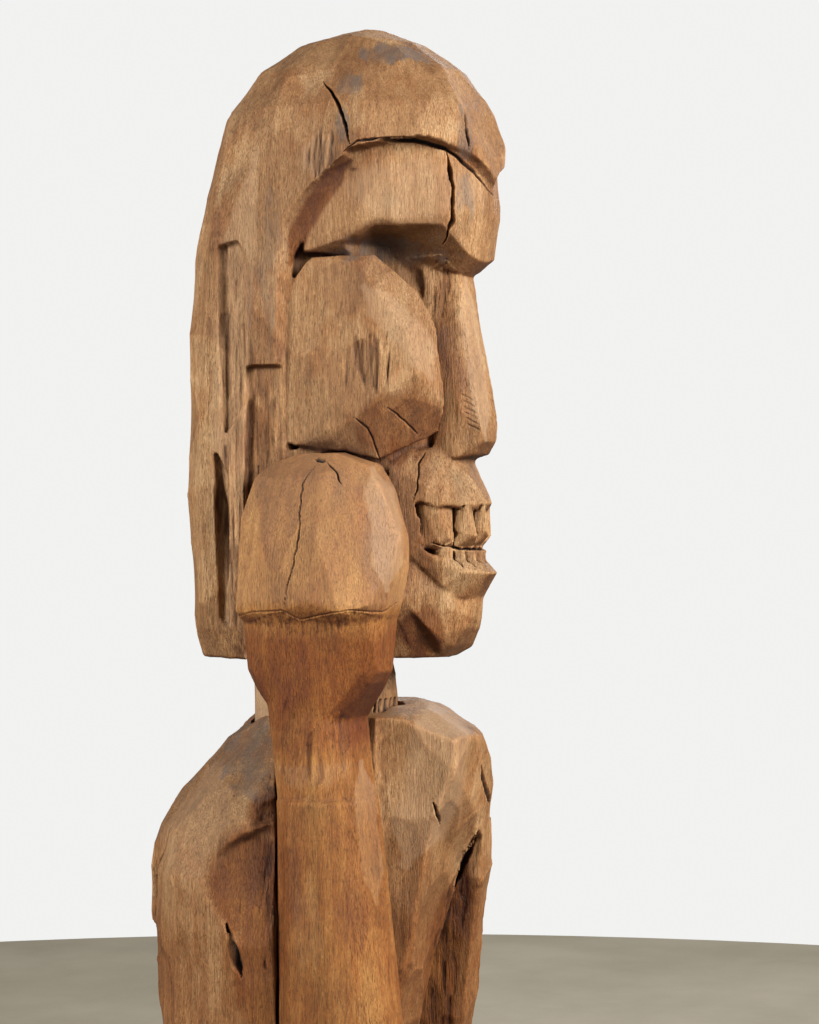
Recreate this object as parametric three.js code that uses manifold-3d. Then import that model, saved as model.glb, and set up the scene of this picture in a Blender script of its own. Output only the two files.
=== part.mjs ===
// A standing carved tiki figure, joined from four wood billets with hidden dowels and lag screws.
// Millimetres, +Z up. The figure faces -Y and its raised right hand is at -X.
import * as THREE from 'three';
import { ConvexGeometry } from 'three/addons/geometries/ConvexGeometry.js';
import { mergeVertices } from 'three/addons/utils/BufferGeometryUtils.js';
import Module from 'manifold-3d';

const wasm = await Module();
wasm.setup();

// Heights of the main cuts
const BASE_TOP = 44;
const FOREARM_SEAT = 300;
const NECK_SEAT = 606;
const HEAD_BOTTOM = 672;
const GAP = 0.3;

// Fasteners
const NECK_DOWEL = { radius: 11, length: 124, spread: 24 };
const FOREARM_DOWEL = { radius: 8, length: 60, spread: 18 };
const HAND_DOWEL = { radius: 6, length: 64, height: 765, depth: -40 };
const LAG = { radius: 4, head: 9, headHeight: 5.5, length: 86 };
const WASHER = { radius: 13, thickness: 2 };
const LAG_X = 66;
const LAG_Y = [-40, 22];

// ---------- shape helpers ----------

function solidFrom(geometry) {
  const plain = geometry.index ? geometry.toNonIndexed() : geometry.clone();
  for (const name of Object.keys(plain.attributes)) {
    if (name !== 'position') plain.deleteAttribute(name);
  }
  const merged = mergeVertices(plain, 1e-4);
  return new wasm.Manifold(new wasm.Mesh({
    numProp: 3,
    vertProperties: Float32Array.from(merged.attributes.position.array),
    triVerts: Uint32Array.from(merged.index.array),
  }));
}

function hull(...groups) {
  const points = groups.flat().map(([x, y, z]) => new THREE.Vector3(x, y, z));
  return solidFrom(new ConvexGeometry(points));
}

function upright(radius, z0, z1, x, y, sides = 32) {
  const rod = new THREE.CylinderGeometry(radius, radius, z1 - z0, sides);
  rod.rotateX(Math.PI / 2).translate(x, y, (z0 + z1) / 2);
  return solidFrom(rod);
}

function crosswise(radius, x0, x1, y, z, sides = 28) {
  const rod = new THREE.CylinderGeometry(radius, radius, x1 - x0, sides);
  rod.rotateZ(Math.PI / 2).translate((x0 + x1) / 2, y, z);
  return solidFrom(rod);
}

const union = (solids) => solids.reduce((a, b) => a.add(b));
const cut = (solid, tools) => tools.reduce((a, b) => a.subtract(b), solid);
const mirrored = (points) => points.map(([x, y, z]) => [-x, y, z]);
const paired = (points) => [...points, ...mirrored(points)];

// The same hull on both sides of the figure
const bothSides = (points) => [hull(points), hull(mirrored(points))];

// A squarish twelve-sided outline at one height
function ring(z, halfWidth, front, back, x = 0) {
  const middle = (front + back) / 2;
  const halfDepth = (back - front) / 2;
  const corners = [[1, 0.4], [0.8, 0.78], [0.4, 1]];
  return corners.flatMap(([p, q]) => [[1, 1], [1, -1], [-1, 1], [-1, -1]].map(
    ([i, j]) => [x + i * p * halfWidth, middle + j * q * halfDepth, z]));
}

// A round outline of wide flats, as a log is left by an adze
function logRing(z, radius, x, y, sides = 13, turn = 0.2) {
  return Array.from({ length: sides }, (_, i) => {
    const angle = turn + (2 * Math.PI * i) / sides;
    return [x + radius * Math.cos(angle), y + radius * Math.sin(angle), z];
  });
}

// Drops the loose chips that a cut leaves behind
function largestBody(solid) {
  return solid.decompose().reduce((a, b) => (b.volume() > a.volume() ? b : a));
}

// Takes a neighbouring billet out of this one, leaving a fine gap all round
function fitAgainst(solid, neighbour) {
  const shifts = [[1, 0, 0], [-1, 0, 0], [0, 1, 0], [0, -1, 0], [0, 0, 1], [0, 0, -1]];
  return cut(solid, shifts.map((s) => neighbour.translate(s.map((d) => d * GAP * 1.5))));
}

// ---------- the head block: hair, face and neck ----------

// The height and depth of the cap's edge as it sweeps down past the temple
const HAIRLINE = [[-66, 1084], [-43, 1070], [-28, 1057], [-16, 1046], [-6, 1032], [1, 1006], [2, 950], [0, 912]];

function hair() {
  return hull(
    ring(1196, 14, -52, -12), ring(1183, 46, -86, 22), ring(1160, 68, -114, 54, 1),
    ring(1124, 86, -137, 80, -1), ring(1096, 92, -146, 89), ring(1076, 95, -140, 93),
    paired([[22, -152, 1072], [0, -155, 1067], [97, -20, 1050]]),
    ring(1010, 98, -40, 102), ring(930, 98, -20, 106, 1), ring(800, 96, 0, 105),
    ring(HEAD_BOTTOM + 24, 90, 0, 99), ring(HEAD_BOTTOM, 84, 0, 94));
}

function hairCuts() {
  const underRim = [
    [[86, -62, 1084], [66, -106, 1094], [64, -200, 1094], [130, -62, 1084]],
    [[67, -103, 1094], [38, -142, 1084], [38, -200, 1084], [100, -150, 1094]],
    [[40, -140, 1085], [0, -157, 1067], [0, -220, 1067], [60, -200, 1088]],
  ];
  const below = ([x, y, z]) => [x, y * 0.5, z - 120];
  const rim = underRim.flatMap((edge) => bothSides([...edge, ...edge.map(below)]));
  const temple = bothSides([
    ...HAIRLINE.map(([y, z]) => [99, y, z]), ...HAIRLINE.map(([y, z]) => [130, y, z]),
    [83, -64, 1078], [84, -42, 1052], [85, -22, 1024], [84, -10, 1000], [83, -6, 912],
    [84, -60, 660], [84, -2, 660], [130, 0, 660], [130, -200, 1080], [130, -200, 660]]);
  const faceWindow = bothSides([
    [0, 0, 1060], [85, -62, 1070], [85, -8, 1000], [85, -2, 660], [0, 0, 660],
    [0, -200, 1060], [85, -200, 1070], [85, -200, 660], [0, -200, 660]]);
  const ears = bothSides([
    [95, 28, 998], [95, 36, 1014], [91, 54, 1010], [94, 31, 880], [91, 49, 856],
    [120, 26, 1000], [120, 36, 1020], [120, 58, 1016], [120, 27, 876], [120, 52, 846]]);
  const underSideburn = bothSides([
    [90, -20, 911], [90, 29, 911], [88, 29, 660], [88, -20, 660],
    [130, -20, 911], [130, 36, 911], [130, 36, 660], [130, -20, 660]]);
  const locks = bothSides([
    [91, 46, 820], [89, 58, 842], [83, 56, 780], [85, 56, 706], [88, 48, 694],
    [120, 42, 824], [120, 62, 850], [120, 60, 696], [120, 46, 690]]);
  return [...rim, ...temple, ...faceWindow, ...ears, ...underSideburn, ...locks];
}

function brow() {
  const top = paired([
    [84, -46, 1072], [80, -66, 1082], [66, -100, 1090], [50, -126, 1087], [34, -140, 1079], [0, -151, 1062]]);
  const widest = paired([
    [85, -22, 1026], [84, -44, 1022], [76, -78, 1030], [52, -130, 1032], [32, -144, 1036], [10, -149, 1036]]);
  const lower = paired([
    [84, -20, 1004], [81, -48, 1012], [72, -78, 1022], [50, -128, 1022], [28, -141, 1002], [10, -143, 998],
    [8, -128, 988], [24, -126, 990]]);
  const inner = paired([[60, 0, 1004], [70, 0, 1080], [50, -60, 1000], [0, -100, 1095], [60, -80, 1095]]);
  return hull(top, widest, lower, inner);
}

function eyeSockets() {
  return bothSides([
    [81, -50, 1010], [73, -76, 1024], [51, -130, 1024], [28, -142, 1001], [20, -122, 988],
    [72, -80, 990], [54, -112, 964], [32, -108, 950], [23, -94, 985], [40, -62, 1012], [44, -58, 984],
    [70, -170, 1016], [30, -170, 990], [54, -150, 964]]);
}

function faceCore() {
  return hull(
    paired([[78, 10, 1030], [60, -60, 1030], [20, -112, 1010]]),
    paired([[80, 10, 850], [60, -84, 860], [36, -106, 860], [12, -118, 900]]),
    paired([[70, 10, HEAD_BOTTOM], [50, -60, HEAD_BOTTOM], [20, -90, HEAD_BOTTOM]]));
}

function cheeks() {
  return bothSides([
    [84, -26, 1000], [87, -8, 975], [84, 6, 968], [70, -76, 1002], [80, -66, 994], [88, -14, 900],
    [56, -108, 970], [48, -121, 940], [45, -127, 895], [44, -127, 878], [42, -120, 858],
    [74, -106, 935], [72, -114, 905], [85, -64, 868], [80, -94, 888], [84, -40, 850],
    [62, -92, 845], [50, -112, 850], [70, -80, 834], [87, -8, 846], [85, 6, 856], [40, -60, 850], [40, -60, 990], [40, -10, 900]]);
}

function nose() {
  const bridge = paired([[14, -124, 1006], [26, -98, 1006]]);
  const middle = paired([[16, -137, 918], [17, -140, 892], [34, -104, 910]]);
  const tip = paired([[18, -148, 862], [14, -149, 850], [29, -134, 874], [34, -116, 862], [33, -112, 846]]);
  const base = paired([[14, -142, 838], [26, -126, 836], [20, -100, 834]]);
  return hull(bridge, middle, tip, base);
}

function muzzle() {
  return hull(
    paired([[10, -126, 842], [30, -116, 846], [46, -96, 842], [14, -134, 822], [36, -122, 824], [58, -84, 830]]),
    paired([[10, -146, 799], [27, -138, 799], [43, -126, 802], [56, -100, 802], [68, -78, 790]]),
    paired([[58, -100, 770], [62, -92, 745], [50, -106, 765], [20, -120, 770], [0, -128, 775]]),
    paired([[30, -40, 745], [30, -40, 842]]));
}

function lowerLip() {
  return hull(
    paired([[8, -153, 742], [28, -139, 743], [46, -117, 756], [56, -99, 770]]),
    paired([[8, -143, 752], [30, -129, 753], [44, -108, 760]]),
    paired([[9, -140, 722], [22, -133, 721], [38, -121, 731], [56, -98, 759]]),
    paired([[20, -90, 724], [44, -70, 765]]));
}

function mouthOpening() {
  return hull(
    paired([[0, -170, 788], [44, -132, 790], [54, -108, 800], [50, -92, 797], [20, -106, 788]]),
    paired([[0, -170, 751], [30, -138, 751], [46, -117, 757], [50, -112, 763], [20, -106, 751], [48, -88, 766]]),
    paired([[54, -130, 785], [20, -170, 760]]));
}

// Teeth follow one bow across the mouth
const gumDepth = (x) => -140 + 0.0135 * x * x;

// A chunky tooth with one slanting ridge, which leans the same way on both sides of the mouth
function tooth(x0, x1, top, bottom, proud, ridgeTop = 0.1, ridgeFoot = 0.64) {
  const flip = x0 + x1 > 0 ? 1 : 0;
  const across = (part) => x0 + (x1 - x0) * Math.abs(flip - part);
  const foot = bottom + (top - bottom) * 0.26;
  const ridge = [[across(ridgeTop), top], [across((ridgeTop + ridgeFoot) / 2), foot + 6], [across(ridgeFoot), foot]];
  const root = [[x0, top], [x1, top], [x0, bottom], [x1, bottom]];
  return hull(
    ridge.map(([x, z]) => [x, gumDepth(x) - proud, z]),
    root.map(([x, z]) => [x, gumDepth(x) + 3, z]),
    root.map(([x, z]) => [x * 0.9, gumDepth(x) + 26, z]));
}

function upperTeeth() {
  const edges = [-49, -28, -9, 9, 28, 49];
  const lengths = [36, 35.5, 34.5, 35.5, 36];
  return lengths.map((length, i) => tooth(edges[i] + 1.2, edges[i + 1] - 1.2, 798, 798 - length, 6.5));
}

function lowerTeeth() {
  const count = 7;
  const width = 77 / count;
  return Array.from({ length: count }, (_, i) => {
    const x0 = -38.5 + i * width;
    return tooth(x0 + 1.2, x0 + width - 1.2, 761, 747, 2, 0.4, 0.6);
  });
}

function jaw() {
  const top = paired([[50, -92, 800], [60, -84, 790], [80, -30, 850], [40, -60, 850]]);
  const middle = paired([[9, -140, 726], [30, -127, 728], [60, -97, 722], [78, -50, 730], [8, -138, 712]]);
  const chin = paired([
    [14, -133, 696], [38, -114, 690], [18, -124, 681], [14, -112, HEAD_BOTTOM], [54, -84, HEAD_BOTTOM]]);
  const rear = paired([[70, 0, HEAD_BOTTOM], [80, 0, 720], [84, 0, 840]]);
  return hull(top, middle, chin, rear);
}

function underJaw() {
  return bothSides([
    [61, -98, 720], [38, -115, 690], [22, -110, 676], [44, -78, 668], [27, -98, 666],
    [90, -60, 716], [90, -120, 730], [46, -150, 692], [90, -50, 660], [32, -150, 660]]);
}

function neck() {
  return hull(
    ring(700, 46, -45, 60), ring(NECK_SEAT + 34, 47, -55, 63), ring(NECK_SEAT, 48, -57, 64));
}

function headBlock() {
  const skull = cut(hair(), hairCuts());
  const upperFace = cut(union([faceCore(), brow()]), eyeSockets());
  const lowerFace = cut(union([jaw(), muzzle(), lowerLip()]), [mouthOpening(), ...underJaw()]);
  const face = union([upperFace, lowerFace, ...cheeks(), nose(), ...upperTeeth(), ...lowerTeeth()]);
  const whole = union([skull, face, neck()]);
  return cut(whole, [...neckDowelHoles(NECK_SEAT - 1, NECK_SEAT + NECK_DOWEL.length / 2), handDowelHole()]);
}

// ---------- the raised forearm and fist ----------

// The inner face of the fist, let into the side of the jaw
const PALM_X = -66;

function fist() {
  const knuckleEdge = [
    [PALM_X, 26, 712], [-124, 24, 711], [-144, -24, 713], [-149, -56, 720], [-149, -84, 712], [-134, -102, 719],
    [-112, -108, 717], [PALM_X, -100, 716]];
  const middle = [
    [-112, -113, 745], [PALM_X, -106, 745], [-104, -115, 772], [PALM_X, -105, 772], [-144, -60, 772], [-139, -12, 768],
    [-117, 25, 752], [-112, 24, 788], [PALM_X, 26, 770]];
  const upper = [
    [-108, -98, 812], [PALM_X, -93, 810], [-128, -60, 822], [-128, -24, 818], [-106, 13, 820], [PALM_X, 14, 808]];
  const top = [
    [-106, -84, 830], [PALM_X, -80, 830], [-110, -62, 839], [-110, -26, 839], [-104, -2, 832], [PALM_X, -4, 832],
    [PALM_X, -50, 840]];
  const undercut = [
    [PALM_X, 20, 702], [-120, 18, 701], [-138, -22, 702], [-142, -56, 706], [-141, -82, 701], [-128, -98, 706],
    [-108, -104, 704], [PALM_X, -96, 704]];
  const heel = [...ring(664, 37, -99, 19, -96), ...ring(626, 37, -76, -8, -97)];
  return union([hull(knuckleEdge, middle, upper, top), hull(knuckleEdge, undercut), hull(undercut, heel)]);
}

function forearm() {
  const lower = hull(
    ring(FOREARM_SEAT + GAP, 50, -112, -12, -96), ring(380, 49, -105, -12, -96),
    ring(470, 48, -92, -13, -96), ring(562, 45, -83, -12, -97));
  const wrist = hull(ring(558, 42, -82, -12, -97), ring(600, 38, -77, -10, -97), ring(640, 37, -75, 0, -97));
  return cut(union([lower, wrist, fist()]), [
    ...forearmDowelHoles(FOREARM_SEAT, FOREARM_SEAT + FOREARM_DOWEL.length / 2), handDowelHole()]);
}

// ---------- the body block: chest, arms, hips, legs and feet ----------

const lowestLogRing = () => logRing(425, 142, -5, 5);

function trunk() {
  return hull(
    logRing(632, 58, 30, -10), logRing(624, 82, 20, -14), logRing(604, 107, 18, -18), logRing(582, 124, 13, -14),
    logRing(560, 135, 8, -8), logRing(530, 144, 2, -2), logRing(495, 148, -3, 2), logRing(455, 147, -5, 4),
    lowestLogRing());
}

function waist() {
  return union([
    hull(ring(440, 112, -100, 124), ring(370, 92, -76, 100), ring(310, 88, -72, 88)),
    hull(ring(320, 88, -73, 88), ring(282, 92, -82, 90), ring(240, 102, -92, 98), ring(205, 108, -84, 108), ring(176, 98, -62, 104))]);
}

function rightUpperArm() {
  const shoulder = [
    ...lowestLogRing().filter(([x, y]) => x < -40 && y > -10), [-140, -26, 425], [-50, -26, 425], [-50, 70, 425]];
  const aboveElbow = [
    [-138, -24, 350], [-142, 34, 345], [-132, 70, 345], [-100, 100, 345], [-66, 92, 345], [-60, -24, 350]];
  const elbow = [
    [-132, -12, 290], [-130, 20, 284], [-128, 76, 276], [-98, 98, 280], [-66, 80, 280], [-66, -12, 290]];
  return hull(shoulder, aboveElbow, elbow);
}

function leftArm() {
  const shoulder = [...lowestLogRing().filter(([x, y]) => x > 60 && y < 100), [78, 30, 425], [74, -60, 425], [84, -97, 425],
    [104, -108, 530], [103, -106, 490], [112, -97, 425]];
  const elbow = [
    [82, -66, 330], [92, -84, 330], [117, -84, 330], [130, -44, 330], [138, 2, 325], [126, 46, 322], [100, 52, 325], [86, 10, 330]];
  const wrist = [
    [88, -92, 276], [120, -88, 276], [128, -48, 268], [122, -14, 264], [92, -12, 270]];
  const fingers = [
    [78, -116, 226], [116, -112, 220], [122, -70, 216], [112, -36, 220], [80, -40, 226],
    [84, -120, 250], [116, -116, 246]];
  return union([hull(shoulder, elbow), hull(elbow, wrist), hull(wrist, fingers)]);
}

function chestCuts() {
  const front = hull(
    [[-170, -128, 650], [170, -128, 650], [-170, -76, 300], [170, -76, 300]],
    [[-170, -260, 650], [170, -260, 650], [-170, -260, 300], [170, -260, 300]]);
  const belly = hull(
    [[-60, -108, 570], [10, -121, 580], [66, -123, 560], [63, -92, 492], [61, -68, 380]],
    [[-60, -52, 310], [60, -52, 310], [-60, -70, 400]],
    [[-60, -260, 580], [74, -200, 560], [-60, -260, 300], [84, -200, 300], [80, -82, 300]]);
  const besideForearm = hull(
    [[-44, -66, 640], [-6, -126, 610], [-44, -74, 520], [0, -114, 520], [-44, -54, 320], [0, -64, 320]],
    [[-60, -66, 640], [-80, -160, 610], [-80, -160, 320], [-60, -54, 320]]);
  return [front, belly, besideForearm];
}

// The cleft between the belly and the inner face of the left arm
function leftArmRecess() {
  return hull(
    [[68, -112, 524], [80, -102, 514]],
    [[61, -87, 464], [54, -77, 418], [46, -62, 340], [50, -66, 306]],
    [[68, -38, 442], [64, -20, 342], [76, -12, 330], [80, -30, 304]],
    [[75, -100, 440], [84, -94, 396], [95, -84, 330], [95, -80, 304]],
    [[84, -150, 440], [84, -150, 310], [50, -130, 400], [46, -130, 310]]);
}

// Valleys that part the upper arms from the back
function armGrooves() {
  return [1, -1].map((side) => hull([
    [side * 88, 122, 548], [side * 78, 96, 470], [side * 70, 84, 400], [side * 66, 74, 300],
    [side * 112, 150, 540], [side * 88, 160, 540], [side * 112, 140, 300], [side * 60, 140, 300]]));
}

// The small of the back, hollowed between the arms
function backHollow() {
  return hull([-1, 1].flatMap((side) => [
    [side * 60, 156, 530], [side * 74, 112, 425], [side * 74, 96, 340], [side * 70, 90, 300],
    [side * 90, 220, 530], [side * 84, 220, 300]]));
}

// The open bay in the log that the raised forearm stands in
function forearmBay() {
  return hull(
    [[-170, -14, 640], [-44, -14, 640], [-170, -25, 560], [-44, -25, 560], [-170, -26, 316], [-44, -26, 316]],
    [[-170, -170, 640], [-44, -170, 640], [-170, -170, 306], [-44, -170, 306], [-44, -26, 306], [-170, -26, 306]]);
}

// A scoop in the shoulder beside the forearm, and the broad flat cut below it
function shoulderHollow() {
  const scoop = hull(
    [[-154, 20, 564], [-152, -34, 576], [-154, 24, 530], [-152, -34, 544]],
    [[-112, -30, 566], [-110, -30, 551], [-130, 6, 554], [-130, 2, 540]]);
  const outline = [
    [-138, 44, 510], [-143, 14, 536], [-126, -22, 545], [-136, -24, 480], [-149, -26, 430], [-150, 8, 446],
    [-141, 43, 486]];
  const flat = hull(outline, outline.map(([x, y, z]) => [x - 40, y - 18, z]));
  return [scoop, flat];
}

function leg(side) {
  const at = (x, y, z) => [side * x, y, z];
  const seat = [at(20, 20, 205), at(98, 10, 210), at(24, 92, 190), at(90, 94, 192), at(30, 84, 150), at(86, 84, 152)];
  const lap = [at(22, -60, 196), at(98, -66, 200), at(28, -104, 172), at(92, -108, 176)];
  const knee = [at(30, -118, 148), at(94, -122, 150), at(34, -108, 122), at(90, -112, 124), at(32, 0, 128), at(92, 0, 130)];
  const calf = [at(34, -70, 150), at(92, -72, 152), at(36, 56, 162), at(86, 60, 162)];
  const ankle = [at(36, -46, 78), at(88, -48, 78), at(38, 46, 76), at(84, 48, 76)];
  const instep = [at(34, -52, 88), at(92, -54, 88), at(34, 54, 80), at(90, 56, 80)];
  const toes = [at(28, -138, 62), at(104, -142, 60), at(26, -142, BASE_TOP + GAP), at(108, -147, BASE_TOP + GAP)];
  const heel = [at(32, 64, BASE_TOP + GAP), at(94, 66, BASE_TOP + GAP), at(34, 62, 70), at(92, 64, 70)];
  return union([hull(seat, lap, knee), hull(calf, ankle, [at(36, -92, 134), at(88, -94, 136)]), hull(instep, toes, heel)]);
}

// Short cuts that part the fingers and the toes
function digitCuts() {
  const notch = (x, y, z, reach, drop) => hull([
    [x - 2.5, y - 30, z], [x + 2.5, y - 30, z], [x, y + reach, z - drop / 2],
    [x - 2.5, y - 30, z - drop], [x + 2.5, y - 30, z - drop], [x, y + reach, z - drop]]);
  const toes = [48, 68, 88].flatMap((x) => [-x, x]).map((x) => notch(x, -136, 80, 18, 40));
  const fingers = [91, 101, 111].map((x) => notch(x, -118, 262, 14, 60));
  return [...toes, ...fingers];
}

function elbowSeat() {
  return hull(
    ring(FOREARM_SEAT, 48, -110, 104, -94), ring(270, 43, -102, 98, -93), ring(248, 27, -72, 72, -92));
}

function bodyBlock(arm) {
  const log = union([trunk(), waist(), rightUpperArm(), leftArm()]);
  const carved = cut(log, [...chestCuts(), ...armGrooves(), backHollow(), leftArmRecess(), forearmBay(), ...shoulderHollow()]);
  const whole = cut(union([carved, leg(1), leg(-1), elbowSeat()]), digitCuts());
  const fitted = fitAgainst(whole, arm);
  const neckSocket = hull(
    ring(NECK_SEAT - GAP, 49.5, -58.5, 65.5), ring(660, 51.5, -60.5, 68));
  return cut(fitted, [
    neckSocket,
    ...neckDowelHoles(NECK_SEAT - NECK_DOWEL.length / 2, NECK_SEAT + 1),
    ...forearmDowelHoles(FOREARM_SEAT - FOREARM_DOWEL.length / 2, FOREARM_SEAT + 1),
    ...lagHoles(BASE_TOP - 1, BASE_TOP + 56)]);
}

// ---------- the base and the fasteners ----------

function base() {
  const half = 170;
  const chamfer = 5;
  const square = (h, z) => paired([[h, -h, z], [h, h, z]]);
  const slab = hull(
    square(half - 2, 0), square(half, 2), square(half, BASE_TOP - chamfer), square(half - chamfer, BASE_TOP));
  const headPockets = lagSpots().map(([x, y]) => upright(WASHER.radius + 1, -1, 10, x, y));
  return cut(slab, [...lagHoles(0, BASE_TOP + 1), ...headPockets]);
}

const lagSpots = () => [-LAG_X, LAG_X].flatMap((x) => LAG_Y.map((y) => [x, y]));

function lagHoles(z0, z1) {
  return lagSpots().map(([x, y]) => upright(LAG.radius + GAP, z0, z1, x, y));
}

function lagScrew(x, y) {
  const headBottom = 10 - GAP - WASHER.thickness - GAP - LAG.headHeight;
  const head = upright(LAG.head, headBottom, headBottom + LAG.headHeight, x, y, 6);
  const shank = upright(LAG.radius, headBottom + LAG.headHeight / 2, headBottom + LAG.length, x, y);
  return head.add(shank);
}

function washer(x, y) {
  const top = 10 - GAP;
  return upright(WASHER.radius, top - WASHER.thickness, top, x, y)
    .subtract(upright(LAG.radius + GAP, 0, 20, x, y));
}

const neckDowelSpots = [[0, 4 - NECK_DOWEL.spread], [0, 4 + NECK_DOWEL.spread]];
const forearmDowelSpots = [[-96, -56 - FOREARM_DOWEL.spread], [-96, -56 + FOREARM_DOWEL.spread]];

function neckDowelHoles(z0, z1) {
  return neckDowelSpots.map(([x, y]) => upright(NECK_DOWEL.radius + GAP, z0, z1, x, y));
}

function forearmDowelHoles(z0, z1) {
  return forearmDowelSpots.map(([x, y]) => upright(FOREARM_DOWEL.radius + GAP, z0, z1, x, y));
}

function standingDowel({ radius, length }, seat, x, y) {
  return upright(radius, seat - length / 2 + GAP, seat + length / 2 - GAP, x, y);
}

const handDowelEnds = [PALM_X - HAND_DOWEL.length / 2, PALM_X + HAND_DOWEL.length / 2];

function handDowelHole() {
  const [x0, x1] = handDowelEnds;
  return crosswise(HAND_DOWEL.radius + GAP, x0 - GAP, x1 + GAP, HAND_DOWEL.depth, HAND_DOWEL.height);
}

function handDowel() {
  const [x0, x1] = handDowelEnds;
  return crosswise(HAND_DOWEL.radius, x0, x1, HAND_DOWEL.depth, HAND_DOWEL.height);
}

// ---------- the assembly ----------

const FINISHES = {
  carvedWood: { color: 0xa87a55, roughness: 0.82, metalness: 0 },
  forearmWood: { color: 0xa06d45, roughness: 0.8, metalness: 0 },
  baseWood: { color: 0x8e6341, roughness: 0.78, metalness: 0 },
  dowelWood: { color: 0xc79c6b, roughness: 0.7, metalness: 0 },
  zincSteel: { color: 0xa9abad, roughness: 0.4, metalness: 1 },
};

const group = new THREE.Group();

function addNode(name, solid, finish) {
  const mesh = largestBody(solid).getMesh();
  const geometry = new THREE.BufferGeometry();
  geometry.setAttribute('position', new THREE.BufferAttribute(Float32Array.from(mesh.vertProperties), 3));
  geometry.setIndex(new THREE.BufferAttribute(Uint32Array.from(mesh.triVerts), 1));
  geometry.computeVertexNormals();
  const node = new THREE.Mesh(geometry, new THREE.MeshStandardMaterial(finish));
  node.name = name;
  group.add(node);
}

const arm = forearm();
addNode('raised_forearm', arm, FINISHES.forearmWood);
addNode('head_block', fitAgainst(headBlock(), arm), FINISHES.carvedWood);
addNode('body_block', bodyBlock(arm), FINISHES.carvedWood);
addNode('base_block', base(), FINISHES.baseWood);
neckDowelSpots.forEach(([x, y], i) => {
  addNode(`neck_dowel_${['front', 'rear'][i]}`, standingDowel(NECK_DOWEL, NECK_SEAT, x, y), FINISHES.dowelWood);
});
forearmDowelSpots.forEach(([x, y], i) => {
  addNode(`elbow_dowel_${['front', 'rear'][i]}`, standingDowel(FOREARM_DOWEL, FOREARM_SEAT, x, y), FINISHES.dowelWood);
});
addNode('hand_dowel', handDowel(), FINISHES.dowelWood);
lagSpots().forEach(([x, y], i) => {
  const place = ['right_front', 'right_rear', 'left_front', 'left_rear'][i];
  addNode(`lag_screw_${place}`, lagScrew(x, y), FINISHES.zincSteel);
  addNode(`washer_${place}`, washer(x, y), FINISHES.zincSteel);
});

export default group;
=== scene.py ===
"""Carved tiki figure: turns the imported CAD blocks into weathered, adzed wood and sets up a plain studio."""

import math
from itertools import product
from types import SimpleNamespace

import bmesh
import bpy
import numpy as np
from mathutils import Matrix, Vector


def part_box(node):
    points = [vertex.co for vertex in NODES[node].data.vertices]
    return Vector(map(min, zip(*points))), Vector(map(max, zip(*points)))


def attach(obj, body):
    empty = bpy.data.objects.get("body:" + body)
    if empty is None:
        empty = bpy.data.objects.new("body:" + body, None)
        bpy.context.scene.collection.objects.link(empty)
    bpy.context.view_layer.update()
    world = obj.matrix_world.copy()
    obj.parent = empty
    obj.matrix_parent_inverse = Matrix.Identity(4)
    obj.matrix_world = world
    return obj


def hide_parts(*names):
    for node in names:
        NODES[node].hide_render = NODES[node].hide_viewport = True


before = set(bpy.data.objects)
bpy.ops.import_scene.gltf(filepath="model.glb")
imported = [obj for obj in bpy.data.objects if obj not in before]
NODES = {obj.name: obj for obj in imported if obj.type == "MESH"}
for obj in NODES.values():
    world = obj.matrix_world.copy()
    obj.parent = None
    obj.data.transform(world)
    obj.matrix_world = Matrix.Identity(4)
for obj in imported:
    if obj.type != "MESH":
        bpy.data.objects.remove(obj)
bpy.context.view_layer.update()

# ---------------------------------------------------------------- camera

CAMERA_AZIMUTH = -65.0  # degrees from the figure's front, towards its right side
CAMERA_DISTANCE = 2.125
CAMERA_HEIGHT = 0.777
AIM_SIDEWAYS = 0.0676
AIM_RISE = 0.0153
LENS_MM = 88.0
SENSOR_MM = 36.0


def horizontal(azimuth_deg):
    """Unit vectors pointing to the right of, and back towards, a level camera at that azimuth."""
    azimuth = math.radians(azimuth_deg)
    right = Vector((math.cos(azimuth), math.sin(azimuth), 0.0))
    back = Vector((math.sin(azimuth), -math.cos(azimuth), 0.0))
    return right, back


def make_camera():
    """A long lens at the height of the mouth, in front of the figure and well round to its right."""
    right, back = horizontal(CAMERA_AZIMUTH)
    data = bpy.data.cameras.new("camera")
    data.lens = LENS_MM
    data.sensor_width = SENSOR_MM
    camera = bpy.data.objects.new("camera", data)
    bpy.context.scene.collection.objects.link(camera)
    camera.location = back * CAMERA_DISTANCE + right * AIM_SIDEWAYS + Vector((0, 0, CAMERA_HEIGHT))
    aim = right * AIM_SIDEWAYS + Vector((0, 0, CAMERA_HEIGHT + AIM_RISE))
    camera.rotation_euler = (aim - camera.location).to_track_quat("-Z", "Y").to_euler()
    bpy.context.scene.camera = camera


# ---------------------------------------------------------------- noise in space

AXIS_PRIMES = (73856093, 19349663, 83492791)
SEED_PRIME = 2654435761
MIX_STEPS = ((15, 2246822519), (13, 3266489917))
LOW_32_BITS = 0xFFFFFFFF
LOW_24_BITS = 0xFFFFFF


def hashed(cells, seed):
    """A repeatable number from 0 to 1 for each integer cell."""
    c = cells.astype(np.int64) & LOW_32_BITS
    h = seed * SEED_PRIME
    for axis, prime in enumerate(AXIS_PRIMES):
        h = h ^ (c[:, axis] * prime)
    h = h & LOW_32_BITS
    for shift, factor in MIX_STEPS:
        h = ((h ^ (h >> shift)) * factor) & LOW_32_BITS
    return ((h ^ (h >> 16)) & LOW_24_BITS) / float(LOW_24_BITS)


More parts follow.
